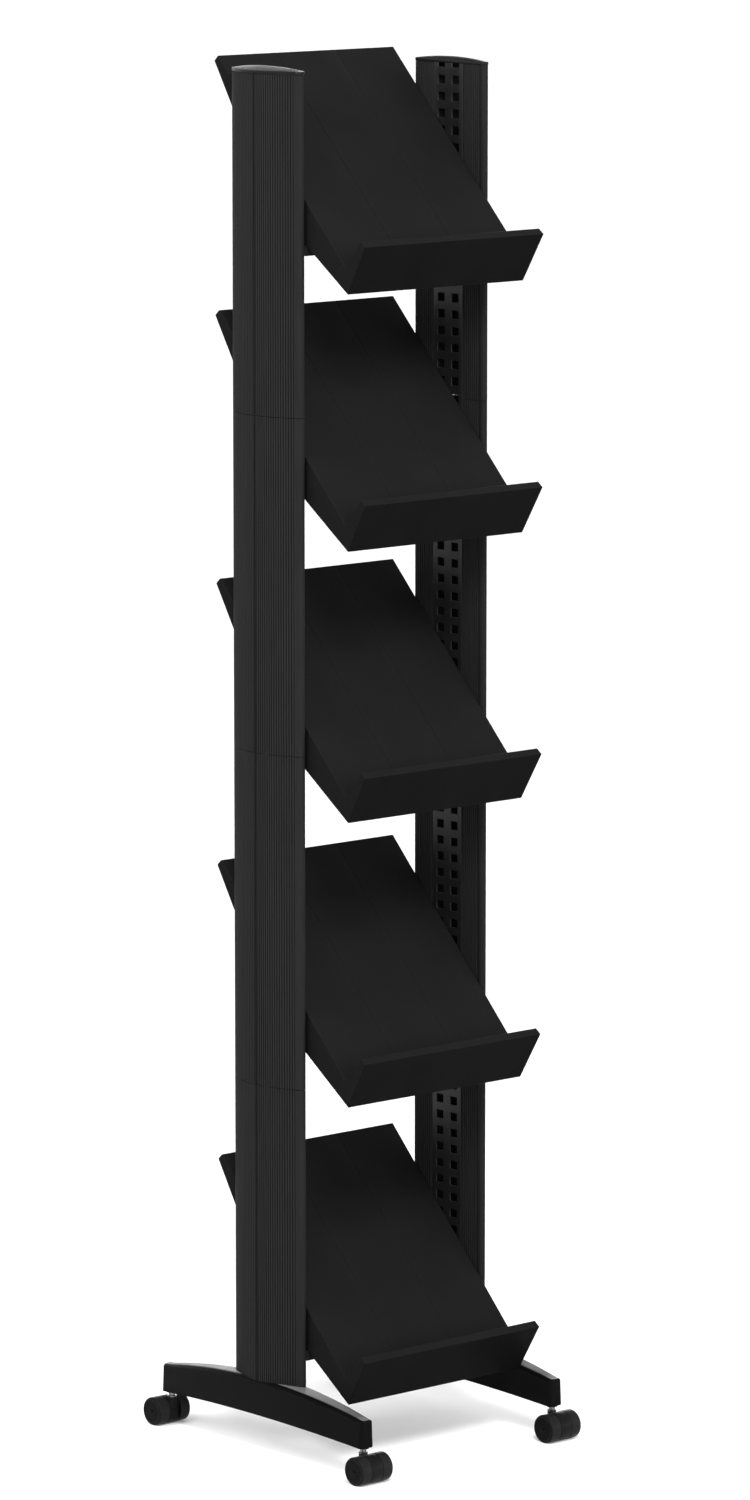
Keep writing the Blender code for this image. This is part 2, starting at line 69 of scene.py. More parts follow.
# columns
COVERS = 4
COVER_LOW, COVER_HIGH = node_box("column_cover_right_4")
STRIP_U, APEX_U = COVER_LOW.x, COVER_HIGH.x
STRIP_HALF = 27.0              # half of the strip where the rail shows
SLOT_HALF = STRIP_HALF + 0.6
HOOK_WALL, HOOK_DEEP = 1.6, 6.8   # the covers' hooked edges beside the rail
EDGE_R = 4.2                   # the rounded edges between the outer and inner faces
EDGE_U, EDGE_Y = STRIP_U + 5.1, COVER_HIGH.y - EDGE_R
OUTER_R = 111.5
OUTER_U = APEX_U - OUTER_R     # the centre of the outer face's arc
EDGE_TURN = asin(EDGE_Y / OUTER_R)
OUTER_SPAN = OUTER_R * EDGE_TURN
WALL = 2.6
FLUTE_PITCH, FLUTE_DEEP = 3.5, 1.3
BAND = 5.0                     # the smooth band beside a rounded edge
GROOVE_HALF, GROOVE_DEEP = 1.4, 1.9
SEAM_CHAMFER = 0.35

# top caps
CAP_GROW = 0.4                 # how far a cap stands out from its column
CAP_END = EDGE_Y + EDGE_R + CAP_GROW
CAP_NOSE, CAP_RIM, CAP_RISE, CAP_RIB = 3.0, 3.5, 4.4, 0.45
CAP_CROWN = 0.2                # where a cap is highest, as a share of its width

# rails and cross beams
RAIL_SHEET = 1.5
HOLE_PITCH, HOLE_Y, HOLE_WIDE, HOLE_HIGH = 20.0, 12.5, 12.0, 10.0
BEAM_SHEET, BEAM_FLANGE, BEAM_HALF = 1.5, 14.0, 133.9
BEAM_FRONT, BEAM_REAR = -60.0, 20.0
BEAM_ROW = 10.5                # the lower hook row, above the beam's lower edge
TAB_END, TAB_HIGH = 138.5, 12.5

# feet
STEM = Vector(frame["joints"][0]["pos_m"]) / MM
FOOT_U, STEM_Y = abs(STEM.x), abs(STEM.y)
FOOT_HALF_WIDE = 17.7
FOOT_LOW, FOOT_HIGH = node_box("foot_right")
FOOT_END = FOOT_HIGH.y - STEM_Y
FOOT_END_HALF, FOOT_CORNER = 10.6, 4.0
FOOT_TOP_END, FOOT_TOP_RISE = 75.5, 17.5
FOOT_BOTTOM_RISE = 7.5
FOOT_CROWN = 3.2               # how far the top falls from its middle to each side
FOOT_EDGE = 1.4
FOOT_DRAFT = 1.4               # how much narrower each side is at the top
COLUMN_SEAT = node_box("column_cover_right_1")[0].z - GAP
BOLT_HEAD = 4.0

# casters
WHEEL_LOW, WHEEL_HIGH = node_box("wheel_front_right_outer")
WHEEL_R = (WHEEL_HIGH.z - WHEEL_LOW.z) / 2
WHEEL_INNER, WHEEL_OUTER = WHEEL_LOW.x - FOOT_U, WHEEL_HIGH.x - FOOT_U
SHOULDER_R = 2.6
TRAIL = -(WHEEL_LOW.y + WHEEL_HIGH.y) / 2 - STEM_Y
HOOD_HALF, HOOD_R = WHEEL_INNER - GAP, WHEEL_R - 0.1
HOOD_LOW, HOOD_BACK = 1.5, -3.0
BOSS_R, BOSS_LOW = 5.4, 20.0

# trays, seen from the side as (y, z), with z above the CAD tray's lowest edge
TRAYS = 5
TRAY_HALF = 136.9
TRAY_WALL = 2.6
TRAY_ROUND, TRAY_CORNER = 0.8, 1.0
KEEL = (-134.9, -2.4)
LIP_OUTER_TOP = (-168.6, 55.0)
LIP_INNER_TOP = (-160.2, 61.2)
LIP_FLARE = 2.2                # how much wider each end of the lip is at its top
VALLEY = (-129.6, 30.2)
FLOOR_TOP = (98.3, 263.4)
FLOOR_BACK = (105.4, 256.8)
CHEEK_LOW = (6.0, 96.5)
RIB_X, RIB_DEEP = 45.6, 14.6
TRAY_ROW = 108.0               # the lowest hook row


# ---------------------------------------------------------------- mesh helpers

def finish_mesh(bm, name, look):
    """Turn a bmesh in millimetres into an object in metres."""
    bmesh.ops.recalc_face_normals(bm, faces=bm.faces)
    split_large_faces(bm)
    bmesh.ops.scale(bm, vec=Vector((MM, MM, MM)), verts=bm.verts)
    mesh = bpy.data.meshes.new(name)
    bm.to_mesh(mesh)
    bm.free()
    item = bpy.data.objects.new(name, mesh)
    bpy.context.scene.collection.objects.link(item)
    if look:
        mesh.materials.append(look)
    return item


def split_large_faces(bm):
    bmesh.ops.triangulate(bm, faces=[f for f in bm.faces if len(f.verts) > 4],
                          ngon_method="EAR_CLIP")


def skin(bm, loops, closed=False):
    """Quads between rings of vertices, which all have the same length."""
    pairs = list(zip(loops, loops[1:])) + ([(loops[-1], loops[0])] if closed else [])
    for low, high in pairs:
        for i in range(len(low)):
            j = (i + 1) % len(low)
            bm.faces.new((low[i], low[j], high[j], high[i]))


def loft(rings, name, look=None):
    """Join rings of equal length into one closed body with a face at each end."""
    bm = bmesh.new()
    loops = [[bm.verts.new(point) for point in ring] for ring in rings]
    skin(bm, loops)
    bm.faces.new(loops[0])
    bm.faces.new(loops[-1])
    return finish_mesh(bm, name, look)


def prism(outline, low, high, axis, name, look=None):
    """Extrude a closed outline along X, Y or Z."""
    return loft([lay(outline, h, axis) for h in (low, high)], name, look)


def lay(outline, height, axis):
    """Put an outline's points at a height along X, Y or Z."""
    spot = {"X": lambda p: (height, p[0], p[1]),
            "Y": lambda p: (p[0], height, p[1]),
            "Z": lambda p: (p[0], p[1], height)}[axis]
    return [spot(p) for p in outline]


def rectangle(left, bottom, right, top):
    return [(left, bottom), (right, bottom), (right, top), (left, top)]


def turned(profile, segments, axis, name, look=None, ring=False):
    """Turn a profile of (radius, height); ring closes the profile on itself."""
    spot = {"Z": lambda r, h, a: (r * cos(a), r * sin(a), h),
            "X": lambda r, h, a: (h, r * cos(a), r * sin(a))}[axis]
    angles = [2 * pi * i / segments for i in range(segments)]
    rings = [[spot(r, h, a) for a in angles] for r, h in profile]
    if not ring:
        return loft(rings, name, look)
    bm = bmesh.new()
    skin(bm, [[bm.verts.new(point) for point in points] for points in rings], closed=True)
    return finish_mesh(bm, name, look)


def combine(target, tools, operation):
    """Bake a Boolean of the tools into the target and drop the tools."""
    for tool in tools:
        step = target.modifiers.new(tool.name, "BOOLEAN")
        step.operation = operation
        step.solver = "EXACT"
        step.object = tool
    depsgraph = bpy.context.evaluated_depsgraph_get()
    mesh = bpy.data.meshes.new_from_object(target.evaluated_get(depsgraph), depsgraph=depsgraph)
    target.modifiers.clear()
    bm = bmesh.new()
    bm.from_mesh(mesh)
    bmesh.ops.dissolve_degenerate(bm, edges=bm.edges, dist=0.002 * MM)
    split_large_faces(bm)
    bm.to_mesh(mesh)
    bm.free()
    target.data = mesh
    for tool in tools:
        bpy.data.objects.remove(tool)


def smooth(item, angle=32.0, flat_from=None):
    """Smooth shading up to an angle; faces of at least flat_from mm2 stay flat."""
    item.data.shade_smooth()
    item.data.set_sharp_from_angle(angle=radians(angle))
    for face in item.data.polygons:
        if flat_from and face.area >= flat_from * MM * MM:
            face.use_smooth = False
    return item


def dress(item, body, slot, *nodes):
    """Make a piece ride on a body and stand for nodes, which it hides; the slot is not used."""
    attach(item, body)
    if nodes:
        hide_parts(*nodes)


def sided(outline, side):
    """An outline of (u, y) as (x, y) on one side."""
    return [(side * u, y) for u, y in outline]


def arc(centre, radius, start, stop, steps):
    """Points on a circle, with angles in degrees from the first axis."""
    angles = [radians(start + (stop - start) * i / steps) for i in range(steps + 1)]
    return [(centre[0] + radius * cos(a), centre[1] + radius * sin(a)) for a in angles]


def inset(outline, distance):
    """Move every side of a closed outline inwards; the outline runs anticlockwise."""
    points = [Vector(p) for p in outline]
    count = len(points)
    moved = []
    for i in range(count):
        before = (points[i] - points[i - 1]).normalized()
        after = (points[(i + 1) % count] - points[i]).normalized()
        normal = Vector((-before.y - after.y, before.x + after.x))
        share = 1 + before.dot(after)
        moved.append(points[i] + normal * (distance / share))
    return moved


def fillet(outline, radius, steps=4):
    """Round every corner of a closed outline."""
    points = [Vector(p) for p in outline]
    count = len(points)
    rounded = []
    for i, corner in enumerate(points):
        back = (points[i - 1] - corner).normalized()
        ahead = (points[(i + 1) % count] - corner).normalized()
        reach = min(radius, 0.45 * (points[i - 1] - corner).length,
                    0.45 * (points[(i + 1) % count] - corner).length)
        start, stop = corner + back * reach, corner + ahead * reach
        for k in range(steps + 1):
            t = k / steps
            rounded.append(tuple(start * (1 - t) ** 2 + corner * 2 * t * (1 - t) + stop * t ** 2))
    return rounded


# ------------------------------------------------------------------- materials

def blank(name):
    """A new node material, with its node tree and its Principled shader."""
    made = bpy.data.materials.new(name)
    made.use_nodes = True
    tree = made.node_tree
    return made, tree, tree.nodes["Principled BSDF"]


def noise(tree, size, detail=3.0, stretch=(1, 1, 1)):
    """Noise whose grains are size metres across, fixed to the object."""
    place = tree.nodes.new("ShaderNodeTexCoord")
    scale = tree.nodes.new("ShaderNodeMapping")
    scale.inputs["Scale"].default_value = stretch
    made = tree.nodes.new("ShaderNodeTexNoise")
    made.inputs["Scale"].default_value = 1 / size
    made.inputs["Detail"].default_value = detail
    tree.links.new(place.outputs["Object"], scale.inputs["Vector"])
    tree.links.new(scale.outputs["Vector"], made.inputs["Vector"])
    return made.outputs["Fac"]


def spread(tree, value, low, high):
    """Map noise, which mostly lies between 0.3 and 0.7, to a range."""
    made = tree.nodes.new("ShaderNodeMapRange")
    made.inputs["From Min"].default_value = 0.3
    made.inputs["From Max"].default_value = 0.7
    made.inputs["To Min"].default_value = low
    made.inputs["To Max"].default_value = high
    tree.links.new(value, made.inputs["Value"])
    return made.outputs["Result"]


def tint(tree, colour, factor):
    """A colour times a varying factor."""
    made = tree.nodes.new("ShaderNodeVectorMath")
    made.operation = "SCALE"
    made.inputs[0].default_value = colour
    tree.links.new(factor, made.inputs["Scale"])
    return made.outputs["Vector"]


def worn_and_highlit_edges(tree, strength):
    """Zero on flat faces and up to strength on sharp outer edges: paler worn edges, and at a high strength a
    painted highlight along the edges.
    """
    shape = tree.nodes.new("ShaderNodeNewGeometry")
    made = tree.nodes.new("ShaderNodeMapRange")
    made.inputs["From Min"].default_value = 0.55
    made.inputs["From Max"].default_value = 0.62
    made.inputs["To Max"].default_value = strength
    tree.links.new(shape.outputs["Pointiness"], made.inputs["Value"])
    return made.outputs["Result"]


def add(tree, first, second):
    """The sum of two values."""
    made = tree.nodes.new("ShaderNodeMath")
    made.operation = "ADD"
    tree.links.new(first, made.inputs[0])
    tree.links.new(second, made.inputs[1])
    return made.outputs["Value"]


def bump(tree, shader, height, strength, distance):
    """A fine relief, up to distance metres high."""
    made = tree.nodes.new("ShaderNodeBump")
    made.inputs["Strength"].default_value = strength
    made.inputs["Distance"].default_value = distance
    tree.links.new(height, made.inputs["Height"])
    tree.links.new(made.outputs["Normal"], shader.inputs["Normal"])


def paint_light_on_tops(tree, colour, amount, low, high):
    """Paint light onto faces whose normal's rise goes from low to high, making faces turned upwards paler."""
    shape = tree.nodes.new("ShaderNodeNewGeometry")
    parts = tree.nodes.new("ShaderNodeSeparateXYZ")
    level = tree.nodes.new("ShaderNodeMapRange")
    level.interpolation_type = "SMOOTHSTEP"
    level.inputs["From Min"].default_value = low
    level.inputs["From Max"].default_value = high
    level.inputs["To Max"].default_value = amount
    lightened = tree.nodes.new("ShaderNodeVectorMath")
    lightened.operation = "ADD"
    tree.links.new(shape.outputs["Normal"], parts.inputs["Vector"])
    tree.links.new(parts.outputs["Z"], level.inputs["Value"])
    tree.links.new(colour, lightened.inputs[0])
    tree.links.new(level.outputs["Result"], lightened.inputs[1])
    return lightened.outputs["Vector"]


def painted_tread_highlight(tree, amount):
    """Zero on a wheel's discs and up to amount on its tread: a painted highlight that makes the tread paler than
    the discs.
    """
    place = tree.nodes.new("ShaderNodeTexCoord")
    parts = tree.nodes.new("ShaderNodeSeparateXYZ")
    square = tree.nodes.new("ShaderNodeMath")
    square.operation = "MULTIPLY"
    level = tree.nodes.new("ShaderNodeMapRange")
    level.inputs["To Min"].default_value = amount
    level.inputs["To Max"].default_value = 0.0
    tree.links.new(place.outputs["Normal"], parts.inputs["Vector"])
    tree.links.new(parts.outputs["X"], square.inputs[0])
    tree.links.new(parts.outputs["X"], square.inputs[1])
    tree.links.new(square.outputs["Value"], level.inputs["Value"])
    return level.outputs["Result"]


def plastic(name, colour, roughness, specular, grain, grain_height, stretch=(1, 1, 1),
            worn_and_highlit=0.6, top_light=None, tread=0.0):
    """Moulded plastic: fine grain, soft patches of tone and paler sharp edges, which are worn edges and, at a high
    strength, a painted edge highlight.

    The painted light that makes upward faces paler is given as its amount and the two rises of the normal between
    which it grows.
    """
    made, tree, shader = blank(name)
    patches = spread(tree, noise(tree, 0.07, 4.0, stretch), 0.85, 1.15)
    fine = spread(tree, noise(tree, 3 * grain, 2.0, stretch), -0.12, 0.12)
    # Paler sharp edges: wear, and at a high strength a painted edge highlight.
    tone = add(tree, add(tree, patches, fine), worn_and_highlit_edges(tree, worn_and_highlit))
    # A painted highlight makes a wheel's tread paler than its discs.
    if tread:
        tone = add(tree, tone, painted_tread_highlight(tree, tread))
    tinted = tint(tree, colour, tone)
    # Painted light: faces turned upwards are made paler.
    if top_light:
        tinted = paint_light_on_tops(tree, tinted, *top_light)
    tree.links.new(tinted, shader.inputs["Base Color"])
    gloss = spread(tree, noise(tree, 0.02, 5.0, stretch), roughness - 0.05, roughness + 0.06)
    tree.links.new(gloss, shader.inputs["Roughness"])
    shader.inputs["Specular IOR Level"].default_value = specular
    bump(tree, shader, noise(tree, grain, 2.0, stretch), 0.35, grain_height)
    return made


def powder_coat(name, colour, roughness, specular):
    """Powder coat on sheet steel: a low orange peel and a trace of dust."""
    made, tree, shader = blank(name)
    tone = add(tree, spread(tree, noise(tree, 0.05, 4.0), 0.85, 1.15), worn_and_highlit_edges(tree, 0.9))
    tree.links.new(tint(tree, colour, tone), shader.inputs["Base Color"])
    gloss = spread(tree, noise(tree, 0.012, 4.0), roughness - 0.06, roughness + 0.06)
    tree.links.new(gloss, shader.inputs["Roughness"])
    shader.inputs["Specular IOR Level"].default_value = specular
    bump(tree, shader, noise(tree, 0.0012, 2.0), 0.4, 0.00008)
    return made


def plated_steel(name, colour, roughness):
    """Bright plated steel with fine turning marks round the axis."""
    made, tree, shader = blank(name)
    tone = spread(tree, noise(tree, 0.004, 4.0), 0.8, 1.1)
    tree.links.new(tint(tree, colour, tone), shader.inputs["Base Color"])
    shader.inputs["Metallic"].default_value = 1.0
    marks = noise(tree, 0.0006, 2.0, (0.2, 0.2, 3.0))
    tree.links.new(spread(tree, marks, roughness - 0.06, roughness + 0.1),
                   shader.inputs["Roughness"])
    bump(tree, shader, marks, 0.2, 0.00003)
    return made


def floor_paint():
    """A pale, matt studio floor."""
    made, tree, shader = blank("studio_floor")
    tone = spread(tree, noise(tree, 0.6, 3.0), 0.985, 1.0)
    tree.links.new(tint(tree, (0.97, 0.97, 0.97), tone), shader.inputs["Base Color"])
    shader.inputs["Roughness"].default_value = 0.9
    shader.inputs["Specular IOR Level"].default_value = 0.0
    return made


def make_looks():
    """The finish of each material slot."""
    return {
        "column_plastic": plastic("column_plastic", (0.0085, 0.0085, 0.0088),
                                  roughness=0.38, specular=0.006, grain=0.0005,
                                  grain_height=0.00005, stretch=(1, 1, 0.03)),
        "cap_plastic": plastic("cap_plastic", (0.004, 0.004, 0.0042),
                               roughness=0.24, specular=0.055, grain=0.0005,
                               grain_height=0.00003),
        # The feet's near-flat tops get a painted highlight.
        "foot_plastic": plastic("foot_plastic", (0.002, 0.002, 0.0021),
                                roughness=0.32, specular=0.02, grain=0.0006,
                                grain_height=0.00002, top_light=(0.11, 0.965, 0.997)),
        # The trays' upward faces get painted light, and their strong edge term paints a highlight along the
        # rounded edges.
        "tray_plastic": plastic("tray_plastic", (0.0034, 0.0034, 0.0035),
                                roughness=0.33, specular=0.006, grain=0.0005,
                                grain_height=0.00004, worn_and_highlit=4.0, top_light=(0.0045, -0.4, 0.7)),
        "rail_steel": powder_coat("rail_steel", (0.006, 0.006, 0.0064),
                                  roughness=0.4, specular=0.15),
        "beam_steel": powder_coat("beam_steel", (0.006, 0.006, 0.0064),
                                  roughness=0.4, specular=0.12),
        # The wheels' treads get a painted highlight.
        "wheel_plastic": plastic("wheel_plastic", (0.0022, 0.0022, 0.0023),
                                 roughness=0.3, specular=0.025, grain=0.0004,
                                 grain_height=0.00002, tread=3.5),
        "body_plastic": plastic("body_plastic", (0.006, 0.006, 0.0062),
                                roughness=0.3, specular=0.03, grain=0.0005,
                                grain_height=0.00003),
        "socket_plastic": plastic("socket_plastic", (0.004, 0.004, 0.004),
                                  roughness=0.35, specular=0.12, grain=0.0005,
                                  grain_height=0.00004),
        "bright_steel": plated_steel("bright_steel", (0.15, 0.15, 0.155), roughness=0.14),
    }


# --------------------------------------------------------------------- columns

def column_surface(s, depth):
    """A point on the outer face, s along the arc from its middle and depth below it."""
    radius, angle = OUTER_R - depth, s / OUTER_R
    return (OUTER_U + radius * cos(angle), radius * sin(angle))


def strip_side(end):
    """The flat inner face on one side of the strip, as a function of (s, depth)."""
    start = Vector((STRIP_U, end * STRIP_HALF))
    stop = Vector((EDGE_U - EDGE_R, end * EDGE_Y))
    along = (stop - start).normalized()
    inward = Vector((along.y, -along.x)) * end
    return lambda s, depth: tuple(start + along * s + inward * depth)


def strip_length():
    """The length of the flat inner face, from the strip to the rounded edge."""
    return hypot(EDGE_Y - STRIP_HALF, EDGE_U - EDGE_R - STRIP_U)


def fluted(surface, start, stop, below=0.0):
    """Rounded ribs side by side, with narrow grooves between them."""
    # each point of a rib is a share of the pitch and a share of the grooves' depth
    rib = ((0.0, 1.0), (0.22, 1.0), (0.3, 0.28), (0.38, 0.06), (0.5, 0.0), (0.78, 0.0),
           (0.9, 0.06), (0.96, 0.28))
    count = round(abs(stop - start) / FLUTE_PITCH)
    step = (stop - start) / count
    points = [surface(start + (k + share) * step, below + deep * FLUTE_DEEP)
              for k in range(count) for share, deep in rib]
    return points + [surface(stop, below + FLUTE_DEEP)]


def outer_half(end, below):
    """The outer face from the groove to the rounded edge, on one side."""
    band = [column_surface(end * (OUTER_SPAN - BAND * k / 3), below) for k in (2.6, 2, 1, 0)]
    near = GROOVE_HALF + 0.9
    return ([column_surface(end * GROOVE_HALF, below + 0.25),
             column_surface(end * (GROOVE_HALF + 0.3), below)]
            + fluted(column_surface, end * near, end * (OUTER_SPAN - BAND), below) + band)


def rounded_edge(end, below):
    """The rounded edge from the outer face to the inner face, on one side."""
    start = end * degrees(EDGE_TURN)
    return arc((EDGE_U, end * EDGE_Y), EDGE_R - below, start, end * 180, 10)[1:]


def inner_half(end, below):
    """The inner face from the rounded edge to the strip, on one side."""
    face = strip_side(end)
    length = strip_length()
    return ([face(length - 2.0, below)] + fluted(face, length - 4.5, 2.4, below)
            + [face(1.7, below), face(1.0, below), face(0.6, below + 0.4)])


def groove():
    """The deep upright groove in the middle of the outer face."""
    floor = GROOVE_HALF - 0.35
    return [column_surface(-floor, GROOVE_DEEP), column_surface(floor, GROOVE_DEEP)]


def cover_outline(below=0.0):
    """A fluted hooked shell, open down the inner side where the rail shows."""
    outside = (inner_half(-1, below)[::-1] + rounded_edge(-1, below)[::-1]
               + outer_half(-1, below)[::-1] + groove()
               + outer_half(1, below) + rounded_edge(1, below) + inner_half(1, below))
    hook_u = STRIP_U + HOOK_DEEP
    hook = [(hook_u, SLOT_HALF), (hook_u, SLOT_HALF + HOOK_WALL),
            (STRIP_U + WALL, SLOT_HALF + HOOK_WALL), (EDGE_U - EDGE_R + WALL + 0.6, EDGE_Y)]
    half_back = [column_surface(OUTER_SPAN * k / 8, WALL) for k in range(8, 1, -1)]
    half_back.append(column_surface(4.0, WALL + 1.4))   # thicker behind the groove
    half = hook + half_back
    return outside + half + [(u, -y) for u, y in reversed(half)]


def make_covers(looks, side_name, side):
    """Four fluted covers, each with a fine chamfer at the seams."""
    for number in range(1, COVERS + 1):
        name = f"column_cover_{side_name}_{number}"
        low, high = node_box(name)
        heights = ((low.z, SEAM_CHAMFER), (low.z + SEAM_CHAMFER, 0.0),
                   (high.z - SEAM_CHAMFER, 0.0), (high.z, SEAM_CHAMFER))
        rings = [lay(sided(cover_outline(below), side), z, "Z") for z, below in heights]
        cover = smooth(loft(rings, f"fluted_cover_{side_name}_{number}", looks["column_plastic"]))
        dress(cover, RACK, "column_plastic", name)


def hole_cutters(side, face_u, low, high):
    """Every hook hole as one cutter, flared a little at the web's visible face."""
    bm = bmesh.new()
    rows = int((high - low - HOLE_HIGH) // HOLE_PITCH)
    for k in range(rows + 1):
        for y in (-HOLE_Y, HOLE_Y):
            loops = []
            for depth, flare in ((-2.0, 0.5), (0.0, 0.5), (0.6, 0.0), (4.0, 0.0)):
                wide, tall = HOLE_WIDE / 2 + flare, HOLE_HIGH / 2 + flare
                corners = fillet(rectangle(-wide, -tall, wide, tall), 0.9, 2)
                loops.append([bm.verts.new((side * (face_u + depth), y + dy,
                                            high - HOLE_PITCH * k + dz)) for dy, dz in corners])
            skin(bm, loops)
            bm.faces.new(loops[0])
            bm.faces.new(loops[-1])
    return finish_mesh(bm, "hook_holes", None)


def make_rail(looks, side_name, side):
    """A folded steel channel with bevelled hook holes in its web."""
    node = f"rail_{side_name}"
    low, high = node_box(node)
    face_u, flange_u = sorted((abs(low.x), abs(high.x)))
    half, sheet = high.y, RAIL_SHEET
    channel = [(face_u, -half), (flange_u, -half), (flange_u, sheet - half),
               (face_u + sheet, sheet - half), (face_u + sheet, half - sheet),
               (flange_u, half - sheet), (flange_u, half), (face_u, half)]
    rail = prism(sided(fillet(channel, 0.3, 2), side), low.z, high.z, "Z",
                 f"perforated_rail_{side_name}", looks["rail_steel"])
    combine(rail, [hole_cutters(side, face_u, low.z, high.z)], "DIFFERENCE")
    dress(smooth(rail, 30, flat_from=60.0), RACK, "rail_steel", node)


def cap_edges(y):
    """The inner and outer u of a cap at y."""
    over = abs(y) - EDGE_Y
    if over > 0:
        reach = (max(0.0, (EDGE_R + CAP_GROW) ** 2 - over ** 2)) ** 0.5
        return EDGE_U - reach, EDGE_U + reach
    outer = OUTER_U + ((OUTER_R + CAP_GROW) ** 2 - y ** 2) ** 0.5
    slant = (EDGE_U - EDGE_R - STRIP_U) * max(0.0, abs(y) - STRIP_HALF) / (EDGE_Y - STRIP_HALF)
    return STRIP_U + slant - CAP_GROW, outer


def cap_stations():
    """Places along a cap, close together so that they carry its fine ribs."""
    nose = [CAP_END - CAP_NOSE * (1 - sin(radians(a))) for a in (90, 70, 50, 35, 20)]
    middle = nose[-1] - 0.6
    count = 2 * round(middle / (FLUTE_PITCH / 4))
    inner = [-middle + 2 * middle * k / count for k in range(count + 1)]
    return [-y for y in nose] + inner + nose[::-1]


def cap_height(y, share):
    """Height of a cap's top above its lower edge: a low dome with fine ribs across it.

    share runs from the inner side to the outer side; the crown is near the inner side.
    """
    rise = CAP_RISE * max(0.0, 1 - (y / CAP_END) ** 2) ** 0.9
    if share < CAP_CROWN:
        rise *= sin(radians(90 * share / CAP_CROWN)) ** 0.7
    else:
        rise *= 1 - ((share - CAP_CROWN) / (1 - CAP_CROWN)) ** 1.6
    rib = CAP_RIB * (1 - abs(sin(pi * y / FLUTE_PITCH))) if abs(y) < EDGE_Y else 0.0
    return CAP_RIM + rise - rib


def make_cap(looks, side_name, side):
    """A low ribbed dome with a plain upright rim."""
    node = f"top_cap_{side_name}"
    rim_low = COVER_HIGH.z + GAP
    shares = (0.0, 0.02, 0.06, 0.12, 0.2, 0.3, 0.42, 0.55, 0.68, 0.8, 0.9, 0.97, 1.0)
    bm = bmesh.new()
    rows = []
    for y in cap_stations():
        inner, outer = cap_edges(y)
        row = []
        for share in shares:
            height = cap_height(y, share) - (0.25 if share in (0.0, 1.0) else 0.0)
            spot = (side * (inner + (outer - inner) * share), y, rim_low + height)
            row.append(bm.verts.new(spot))
        rows.append(row)
    for first, second in zip(rows, rows[1:]):
        for k in range(len(shares) - 1):
            bm.faces.new((first[k], first[k + 1], second[k + 1], second[k]))
    rim = [row[-1] for row in rows] + [row[0] for row in reversed(rows)]
    foot = [bm.verts.new((v.co.x, v.co.y, rim_low)) for v in rim]
    skin(bm, [rim, foot])
    bm.faces.new(foot)
    bmesh.ops.remove_doubles(bm, verts=bm.verts, dist=0.01)
    cap = smooth(finish_mesh(bm, f"ribbed_cap_{side_name}", looks["cap_plastic"]), 40)
    dress(cap, RACK, "cap_plastic", node)


# ------------------------------------------------------------------------ feet

def foot_levels(y):
    """The lower and upper face of a foot at y."""
    run = max(0.0, 1 - (y / (STEM_Y + 2)) ** 2)
    return FOOT_LOW.z + FOOT_BOTTOM_RISE * run, FOOT_TOP_END + FOOT_TOP_RISE * run


def foot_section(y, half, side):
    """One cross-section of a foot, with its top falling away only near its rounded edges."""
    low, high = foot_levels(y)
    crisp = min(1.2, half * 0.2)
    top = half - min(FOOT_DRAFT, half * 0.13)
    fall = FOOT_CROWN * half / FOOT_HALF_WIDE
    edge = arc((top - FOOT_EDGE, high - fall - FOOT_EDGE), FOOT_EDGE, 0, 70, 5)
    flat = top - 0.8 * FOOT_EDGE
    crown = [(flat * k, high - fall * k ** 6) for k in (0.96, 0.91, 0.85, 0.78, 0.68, 0.5, 0.25)]
    right = edge + crown
    under = (arc((half - crisp, low + crisp), crisp, 0, -90, 3)
             + arc((-half + crisp, low + crisp), crisp, -90, -180, 3))
    outline = [(-u, z) for u, z in right] + [(0.0, high)] + right[::-1] + under
    return [(side * (FOOT_U + u), y, z) for u, z in outline]


def foot_stations():
    """Places along a foot with the half width there; each end is blunt with round corners."""
    beam = [STEM_Y * k / 24 for k in range(-23, 24)]
    middle = [(y, FOOT_END_HALF + (FOOT_HALF_WIDE - FOOT_END_HALF) * (1 - (y / STEM_Y) ** 2))
              for y in beam]
    start, flat = STEM_Y + FOOT_END - FOOT_CORNER, FOOT_END_HALF - FOOT_CORNER
    nose = [(start + FOOT_CORNER * sin(radians(a)), flat + FOOT_CORNER * cos(radians(a)))
            for a in (0, 12, 24, 36, 48, 60, 72, 84, 90)]
    return [(-y, half) for y, half in reversed(nose)] + middle + nose


def column_outline(grow):
    """The column's whole plain outline, grown by a margin."""
    angle = degrees(EDGE_TURN)
    outer = arc((OUTER_U, 0), OUTER_R + grow, -angle, angle, 28)
    edges = [arc((EDGE_U, end * EDGE_Y), EDGE_R + grow, end * angle, end * 180, 8)
             for end in (1, -1)]
    inner_u = STRIP_U - grow
    return outer + edges[0] + [(inner_u, STRIP_HALF), (inner_u, -STRIP_HALF)] + edges[1][::-1]


